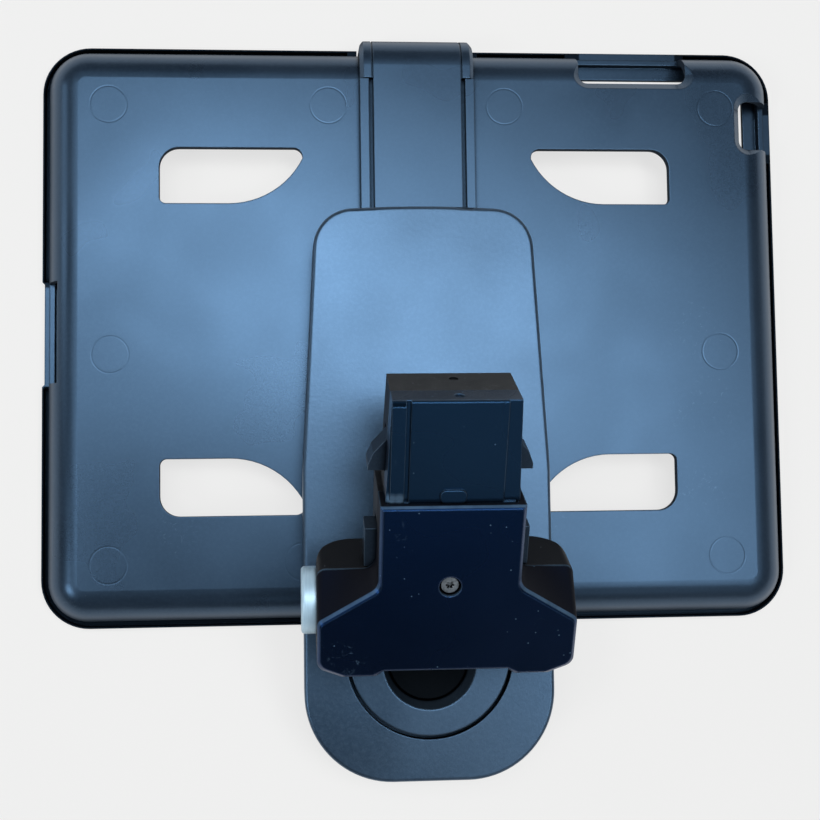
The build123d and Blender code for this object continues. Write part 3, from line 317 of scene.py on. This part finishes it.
def plastic(name, dark, light, grain, grain_depth, rough, gloss, edge_wear_and_highlight, wear_and_highlight_colour, radius,
            marks=(), scuffs=(), highlight_spots=(), dusty=0.0, crevice=2.5 * MM, steep_rough=None, patchy_end=None,
            least_edge_wear_and_highlight=0.0, wear_and_highlight_way=None, openings=(), front=None):
    """Moulded satin plastic: clouded colour, fine grain and worn edges, with the marks that are given.
    Edges that face a given way also carry a painted highlight, and crevices carry painted shade.

    Gloss is the index of refraction, the specular level and the specular tint, whose blue is a painted
    reflection of the sky. Front is the way that the front face looks and how far it lies along it.
    """
    made, tree, shader, place = new_material(name)
    cloud = noise(tree, place, scale=14.0, detail=4.0, rough=0.6)
    colour = blend_colour(tree, spread(tree, cloud, (0.32, 0.68), smooth=True), dark, light)
    fleck = noise(tree, place, scale=grain, detail=3.0, rough=0.65)
    sparkle = tuple(SPARKLE_GAIN * part for part in light)
    colour = blend_colour(tree, spread(tree, fleck, (0.42, 0.74), (0.0, 0.45)), colour, sparkle)
    # Worn edges, broken up, and faint rubbed streaks; on edges that face the given way the wear is also a
    # painted highlight
    edge_noise = noise(tree, place, scale=130.0, detail=5.0, rough=0.7, distortion=0.6)
    broken = spread(tree, edge_noise, (0.36, 0.66), (least_edge_wear_and_highlight, edge_wear_and_highlight))
    wear_and_highlight_mask = times(tree, edge_mask(tree, radius, wear_and_highlight_way), broken)
    streak = streaks(tree, place, scale=(260.0, 38.0, 120.0), turn=0.5)
    wear_and_highlight_mask = larger(tree, wear_and_highlight_mask, spread(tree, streak, (0.72, 0.82), (0.0, edge_wear_and_highlight * STREAK_WEAR)))
    if scuffs:
        fine = noise(tree, place, scale=620.0, detail=6.0, rough=0.75, distortion=0.8)
        chips = spread(tree, fine, (0.59, 0.72), (0.0, 0.8))
        wear_and_highlight_mask = larger(tree, wear_and_highlight_mask, times(tree, spots(tree, place, scuffs), chips))
    # Pale spots painted as highlights
    if highlight_spots:
        wear_and_highlight_mask = larger(tree, wear_and_highlight_mask, spots(tree, place, highlight_spots))
    if dusty:
        wear_and_highlight_mask = larger(tree, wear_and_highlight_mask, dust(tree, place, dusty))
    # The end face that a mount stands on, in a patchy grey-brown
    if patchy_end:
        patch = noise(tree, place, scale=240.0, detail=5.0, rough=0.7)
        patchy = spread(tree, patch, (0.30, 0.65), (0.55, 1.0))
        colour = blend_colour(tree, times(tree, end_mask(tree, place, patchy_end), patchy), colour, END_FACE_GREY)
    if front:
        # Sides below a glossy front in a painted brown reflection, and between them a rubbed bevel that
        # also carries a painted highlight
        front_face, front_reach = front
        depth = math_node(tree, "SUBTRACT", front_reach, measure(tree, "DOT_PRODUCT", place, front_face))
        side = spread(tree, depth, (0.85 * MM, 1.0 * MM))
        colour = blend_colour(tree, side, colour, BROWN_SIDE_REFLECTION)
        below = spread(tree, depth, (0.25 * MM, 0.45 * MM))
        bevel_wear_and_highlight = times(tree, below, math_node(tree, "SUBTRACT", 1.0, side))
        lean = measure(tree, "DOT_PRODUCT", face_normal(tree), wear_and_highlight_way)
        bevel_wear_and_highlight = times(tree, bevel_wear_and_highlight, spread(tree, lean, (-0.1, 0.45), (0.10, 0.65)))
        bevel_wear_and_highlight = times(tree, bevel_wear_and_highlight, spread(tree, edge_noise, (0.3, 0.6), (0.6, 1.0)))
        wear_and_highlight_mask = larger(tree, wear_and_highlight_mask, bevel_wear_and_highlight)
    colour = blend_colour(tree, wear_and_highlight_mask, colour, wear_and_highlight_colour)
    layers = [(fleck, 0.55, grain_depth)]
    if marks:
        ring = rings(tree, place, marks)
        ring_colour = tuple(RING_DARK * part for part in dark)
        colour = blend_colour(tree, times(tree, ring, RING_TONE), colour, ring_colour)
        layers.append((times(tree, ring, -1.0), 0.45, 0.05 * MM))
    # Painted shade in the crevices and on the rim, but little in the openings
    shade = crevice_mask(tree, crevice)
    if openings:
        shade = larger(tree, shade, times(tree, rim_mask(tree, place), RIM_SHADE))
        shade = times(tree, shade, away_from(tree, place, openings, OPENING_SHADE))
    colour = blend_colour(tree, shade, colour, CREVICE_SHADE)
    feed(tree, colour, shader.inputs["Base Color"])
    # Mottled gloss. Steep faces and the sides below a front are rougher, and their reflection tint is
    # painted dark as shade, as on the crevices and the rim
    blotch = noise(tree, place, scale=26.0, detail=2.0, rough=0.5, distortion=0.2)
    satin = spread(tree, blotch, (0.30, 0.70), (rough - 0.035, rough + 0.045))
    reflection_shade = shade
    if steep_rough:
        steep = steep_mask(tree)
        satin = math_node(tree, "ADD", satin, times(tree, steep, steep_rough - rough))
        reflection_shade = larger(tree, reflection_shade, times(tree, steep, PAINTED_REFLECTION_SHADE))
    if front:
        satin = math_node(tree, "ADD", satin, times(tree, side, SIDE_ROUGH - rough))
        reflection_shade = larger(tree, reflection_shade, times(tree, side, PAINTED_REFLECTION_SHADE))
    feed(tree, satin, shader.inputs["Roughness"])
    index, level, tint = gloss
    shader.inputs["IOR"].default_value = index
    shader.inputs["Specular IOR Level"].default_value = level
    feed(tree, blend_colour(tree, reflection_shade, tint, BLACK), shader.inputs["Specular Tint"])
    bump(tree, shader, layers, radius)
    return made


def metal(name, dark, light, bare, rough, line_scale, radius):
    """Metal, more or less bare, with fine lines along one direction, a slight tarnish and painted shade in
    its crevices.
    """
    made, tree, shader, place = new_material(name)
    shader.inputs["Metallic"].default_value = bare
    line = streaks(tree, place, line_scale)
    tone = noise(tree, place, scale=220.0, detail=3.0, rough=0.55)
    mix = math_node(tree, "ADD", times(tree, line, 0.6), times(tree, tone, 0.4))
    colour = blend_colour(tree, spread(tree, mix, (0.35, 0.65)), dark, light)
    # Painted shade in the crevices
    colour = blend_colour(tree, crevice_mask(tree, 1.2 * MM), colour, METAL_CREVICE_SHADE)
    feed(tree, colour, shader.inputs["Base Color"])
    feed(tree, spread(tree, line, (0.3, 0.7), rough), shader.inputs["Roughness"])
    bump(tree, shader, [(line, 0.25, 0.03 * MM)], radius)
    return made


# Places of the marks, in millimetres
ejector_marks = [
    (101.6, 74.8, 6.0, 1.0), (29.5, 74.9, 6.0, 0.8), (101.0, -7.8, 6.0, 1.0),
    (101.5, -75.7, 6.0, 1.0), (39.0, -75.5, 6.0, 0.5),
]
shell_scuffs = [
    (92.0, 0.0, 15.0, 14.0), (94.0, -26.0, 15.0, 16.0), (93.0, -54.0, 15.0, 13.0),
    (42.0, -64.0, 15.0, 9.0), (-80.0, -66.0, 15.0, 10.0), (-112.0, -88.0, 11.0, 9.0),
    (-20.0, -62.0, 15.0, 8.0),
]
side_openings = [(75.0, 96.0, 3.0, 16.6), (124.0, 69.0, 3.0, 6.8), (-124.0, -1.0, 3.0, 16.5)]
plug_scuffs = [
    (-29.0, -98.0, 70.0, 9.0), (26.0, -86.0, 72.0, 5.0), (-14.0, -62.0, 84.0, 5.0),
    (-6.0, -24.0, 92.0, 11.0), (8.0, -24.5, 91.5, 9.0),
]
# Painted highlights on the nose's left strip
nose_strip_highlight = [(-16.4, -53.4, 89.0, 2.4), (-14.4, -53.4, 89.0, 2.4)]

# The plug's own directions: along its nose, and straight out of its front
nose_mount = next(mount for mount in frame["record"]["mounts"] if mount["name"] == "plug_nose")
nose_way = nose_mount["axis"]
front_way = (0.0, -nose_way[2], nose_way[1])
cover_points = nodes["plug_front_cover"].data.vertices
front_level = max(Vector(front_way).dot(point.co) for point in cover_points)

# Materials
shell_skin = plastic(
    "shell_skin", dark=(0.012, 0.019, 0.030), light=(0.020, 0.030, 0.045),
    grain=900.0, grain_depth=0.012 * MM, rough=0.29, gloss=(1.7, 0.74, SKY_REFLECTION_TINT),
    edge_wear_and_highlight=0.40, wear_and_highlight_colour=(0.13, 0.17, 0.21), radius=0.5 * MM,
    marks=ejector_marks, scuffs=shell_scuffs, steep_rough=0.9, openings=side_openings,
)
arm_skin = plastic(
    "arm_skin", dark=(0.014, 0.022, 0.034), light=(0.034, 0.048, 0.066),
    grain=900.0, grain_depth=0.045 * MM, rough=0.31, gloss=(1.9, 0.62, SKY_REFLECTION_TINT),
    edge_wear_and_highlight=0.30, wear_and_highlight_colour=(0.15, 0.18, 0.22), radius=0.5 * MM,
)
plug_skin = plastic(
    "plug_skin", dark=(0.0010, 0.0020, 0.0042), light=(0.0026, 0.0042, 0.0070),
    grain=1500.0, grain_depth=0.03 * MM, rough=0.28, gloss=(1.7, 0.70, (0.16, 0.48, 1.0)),
    edge_wear_and_highlight=1.0, least_edge_wear_and_highlight=0.35, wear_and_highlight_colour=(0.10, 0.16, 0.23), radius=0.5 * MM, wear_and_highlight_way=nose_way,
    scuffs=plug_scuffs, highlight_spots=nose_strip_highlight, dusty=1.0, crevice=0.8 * MM, patchy_end=nose_mount,
)
cover_skin = plastic(
    "cover_skin", dark=(0.0006, 0.0012, 0.0028), light=(0.0016, 0.0026, 0.0046),
    grain=1500.0, grain_depth=0.03 * MM, rough=0.28, gloss=(1.7, 0.55, (0.07, 0.30, 1.0)),
    edge_wear_and_highlight=1.0, least_edge_wear_and_highlight=0.45, wear_and_highlight_colour=(0.11, 0.18, 0.26), radius=0.7 * MM, wear_and_highlight_way=nose_way,
    scuffs=plug_scuffs, dusty=1.0, front=(front_way, front_level),
)
rear_skin = plastic(
    "rear_skin", dark=(0.0042, 0.0036, 0.0033), light=(0.0085, 0.0076, 0.0070),
    grain=1500.0, grain_depth=0.03 * MM, rough=0.50, gloss=(1.5, 0.30, (0.60, 0.70, 0.90)),
    edge_wear_and_highlight=0.35, least_edge_wear_and_highlight=0.04, wear_and_highlight_colour=(0.24, 0.26, 0.28), radius=0.5 * MM, wear_and_highlight_way=nose_way,
    scuffs=plug_scuffs, dusty=0.6, patchy_end=nose_mount,
)
lever_skin = plastic(
    "lever_skin", dark=(0.009, 0.013, 0.019), light=(0.018, 0.024, 0.033),
    grain=1500.0, grain_depth=0.03 * MM, rough=0.36, gloss=(1.6, 0.60, (0.40, 0.65, 1.0)),
    edge_wear_and_highlight=1.0, least_edge_wear_and_highlight=0.3, wear_and_highlight_colour=(0.11, 0.16, 0.21), radius=0.4 * MM,
)
dark_skin = plastic(
    "dark_skin", dark=(0.0008, 0.0009, 0.0012), light=(0.0018, 0.0020, 0.0026),
    grain=1200.0, grain_depth=0.05 * MM, rough=0.6, gloss=(1.4, 0.12, (0.6, 0.8, 1.0)),
    edge_wear_and_highlight=0.20, wear_and_highlight_colour=(0.03, 0.03, 0.035), radius=0.35 * MM,
)
washer_skin = plastic(
    "washer_skin", dark=(0.42, 0.42, 0.40), light=(0.52, 0.52, 0.49),
    grain=1500.0, grain_depth=0.04 * MM, rough=0.55, gloss=(1.5, 0.5, (1.0, 1.0, 1.0)),
    edge_wear_and_highlight=0.2, wear_and_highlight_colour=(0.6, 0.6, 0.58), radius=0.3 * MM,
)
button_skin = metal(
    "button_skin", dark=(0.50, 0.68, 0.80), light=(0.66, 0.84, 0.95),
    bare=0.35, rough=(0.40, 0.52), line_scale=(3200.0, 140.0, 140.0), radius=0.3 * MM,
)
steel_skin = metal(
    "steel_skin", dark=(0.36, 0.36, 0.37), light=(0.55, 0.55, 0.56),
    bare=1.0, rough=(0.28, 0.42), line_scale=(900.0, 900.0, 160.0), radius=0.2 * MM,
)
black_steel = metal(
    "black_steel", dark=(0.16, 0.17, 0.18), light=(0.42, 0.44, 0.46),
    bare=0.75, rough=(0.32, 0.48), line_scale=(1400.0, 1400.0, 400.0), radius=0.15 * MM,
)

by_slot = {
    "shell_plastic": shell_skin,
    "arm_plastic": arm_skin,
    "plug_plastic": plug_skin,
    "dark_plastic": dark_skin,
    "washer_plastic": washer_skin,
    "button_metal": button_skin,
    "steel": steel_skin,
    "dark_steel": black_steel,
}
by_node = {
    "plug_front_cover": cover_skin,
    "plug_body": rear_skin,
    "plug_latch_left": lever_skin,
    "plug_latch_right": lever_skin,
}
for part in frame["record"]["subparts"]:
    mesh = nodes[part["node"]].data
    mesh.materials.clear()
    mesh.materials.append(by_node.get(part["node"], by_slot[part["material_slot"]]))


# Springs, each copied into a piece that takes its node's place

def flexing(node, side=0):
    """A copy of a spring that stands for its node, on the node's body. A side keeps that half along x."""
    shape = bmesh.new()
    shape.from_mesh(nodes[node].data)
    bmesh.ops.remove_doubles(shape, verts=shape.verts, dist=1e-7)
    name = f"{node}_flexing"
    if side:
        name = f"{node}_{'left' if side < 0 else 'right'}"
        every = shape.verts[:] + shape.edges[:] + shape.faces[:]
        bmesh.ops.bisect_plane(
            shape, geom=every, plane_co=(0.0, 0.0, 0.0), plane_no=(side, 0.0, 0.0), clear_inner=True,
        )
        bmesh.ops.holes_fill(shape, edges=[edge for edge in shape.edges if edge.is_boundary])
    mesh = bpy.data.meshes.new(name)
    shape.to_mesh(mesh)
    shape.free()
    mesh.materials.append(steel_skin)
    piece = bpy.data.objects.new(name, mesh)
    scene.collection.objects.link(piece)
    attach(piece, nodes[node]["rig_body"])
    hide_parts(node)
    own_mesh(piece)


flexing("latch_spring")
flexing("lock_spring")
# The bow spring in two halves, one on each side along x, both on the spring's body
for name, side in (("left_squeeze", -1), ("right_squeeze", 1)):
    flexing("bow_spring", side)


# Floor with a low far wall

def make_floor(radius, height, count, colour, glow_share):
    """Round floor and wall, near white to the camera and in reflections, which keep the shadow."""
    mesh = bpy.data.meshes.new("floor")
    turns = [2.0 * math.pi * step / count for step in range(count)]
    ring = [(radius * math.cos(turn), radius * math.sin(turn)) for turn in turns]
    corners = [(x, y, 0.0) for x, y in ring] + [(x, y, height) for x, y in ring]
    pairs = [(step, (step + 1) % count) for step in range(count)]
    wall = [(first, second, count + second, count + first) for first, second in pairs]
    mesh.from_pydata(corners, [], [tuple(range(count))] + wall)
    floor = bpy.data.objects.new("floor", mesh)
    scene.collection.objects.link(floor)
    made = bpy.data.materials.new("floor_pale")
    made.use_nodes = True
    tree = made.node_tree
    tree.nodes.clear()
    output = tree.nodes.new("ShaderNodeOutputMaterial")
    diffuse = tree.nodes.new("ShaderNodeBsdfDiffuse")
    diffuse.inputs["Color"].default_value = (*colour, 1.0)
    glow = tree.nodes.new("ShaderNodeEmission")
    glow.inputs["Color"].default_value = (1.0, 1.0, 1.0, 1.0)
    path = tree.nodes.new("ShaderNodeLightPath")
    mix = tree.nodes.new("ShaderNodeMixShader")
    seen = larger(tree, path.outputs["Is Camera Ray"], path.outputs["Is Glossy Ray"])
    seen = larger(tree, seen, path.outputs["Is Transmission Ray"])
    feed(tree, times(tree, seen, glow_share), mix.inputs[0])
    feed(tree, diffuse.outputs[0], mix.inputs[1])
    feed(tree, glow.outputs[0], mix.inputs[2])
    feed(tree, mix.outputs[0], output.inputs["Surface"])
    mesh.materials.append(made)


make_floor(radius=8.0, height=2.0, count=64, colour=(0.80, 0.72, 0.65), glow_share=0.70)

# World and lamps
world = bpy.data.worlds.new("studio")
scene.world = world
world.use_nodes = True
background = world.node_tree.nodes["Background"]
background.inputs["Color"].default_value = (0.70, 0.85, 1.0, 1.0)
background.inputs["Strength"].default_value = 0.05


def lamp(name, place, target, size, power, roll=0.0):
    """Rectangular lamp that points at a target, turned about its own axis by a roll in degrees."""
    data = bpy.data.lights.new(name, "AREA")
    data.shape = "RECTANGLE"
    data.size, data.size_y = size
    data.energy = power
    data.color = LAMP_COLOUR
    made = bpy.data.objects.new(name, data)
    scene.collection.objects.link(made)
    aim = (Vector(target) - Vector(place)).to_track_quat("-Z", "Y").to_matrix().to_4x4()
    made.matrix_world = Matrix.Translation(place) @ aim @ Matrix.Rotation(math.radians(roll), 4, "Z")


def overhead(name, x, y, z, size, power, roll=0.0):
    """Lamp that points straight down."""
    lamp(name, (x, y, z), (x, y, 0.0), size, power, roll)


overhead("softbox", 0.07, 0.17, 1.2, size=(0.80, 0.32), power=6.9, roll=-20.0)
overhead("wide_softbox", -0.05, 0.45, 1.25, size=(1.9, 1.2), power=1.5, roll=-10.0)
overhead("left_softbox", -0.48, 0.10, 1.2, size=(0.22, 0.80), power=1.8)
overhead("right_softbox", 0.50, -0.28, 1.2, size=(0.35, 0.55), power=2.5)
lamp("front_light", (0.25, -0.95, 0.90), (0.0, -0.09, 0.07), size=(0.6, 0.3), power=0.30)
lamp("left_light", (-1.1, 0.3, 0.6), (0.0, 0.0, 0.0), size=(0.4, 0.4), power=1.0)
lamp("corner_light", (-0.89, -0.43, 0.96), (0.0, 0.0, 0.0), size=(0.30, 0.35), power=2.6)

# Camera, at the photograph's place
SENSOR = 36.0
FRAME_PIXELS = 820.0
FOCAL_PIXELS = 1160.09
CAMERA_PLACE = (-42.47 * MM, -43.64 * MM, 393.91 * MM)
CAMERA_TURNS = {"X": 0.05802, "Y": -0.06348, "Z": -0.00788}
camera_data = bpy.data.cameras.new("camera")
camera = bpy.data.objects.new("camera", camera_data)
scene.collection.objects.link(camera)
scene.camera = camera
camera_data.sensor_width = SENSOR
camera_data.lens = SENSOR * FOCAL_PIXELS / FRAME_PIXELS
camera_data.shift_x = 0.0547
camera_data.shift_y = -0.0181
camera_data.clip_start = 0.01
turn = Matrix.Identity(4)
for axis, angle in CAMERA_TURNS.items():
    turn = turn @ Matrix.Rotation(angle, 4, axis)
camera.matrix_world = Matrix.Translation(CAMERA_PLACE) @ turn
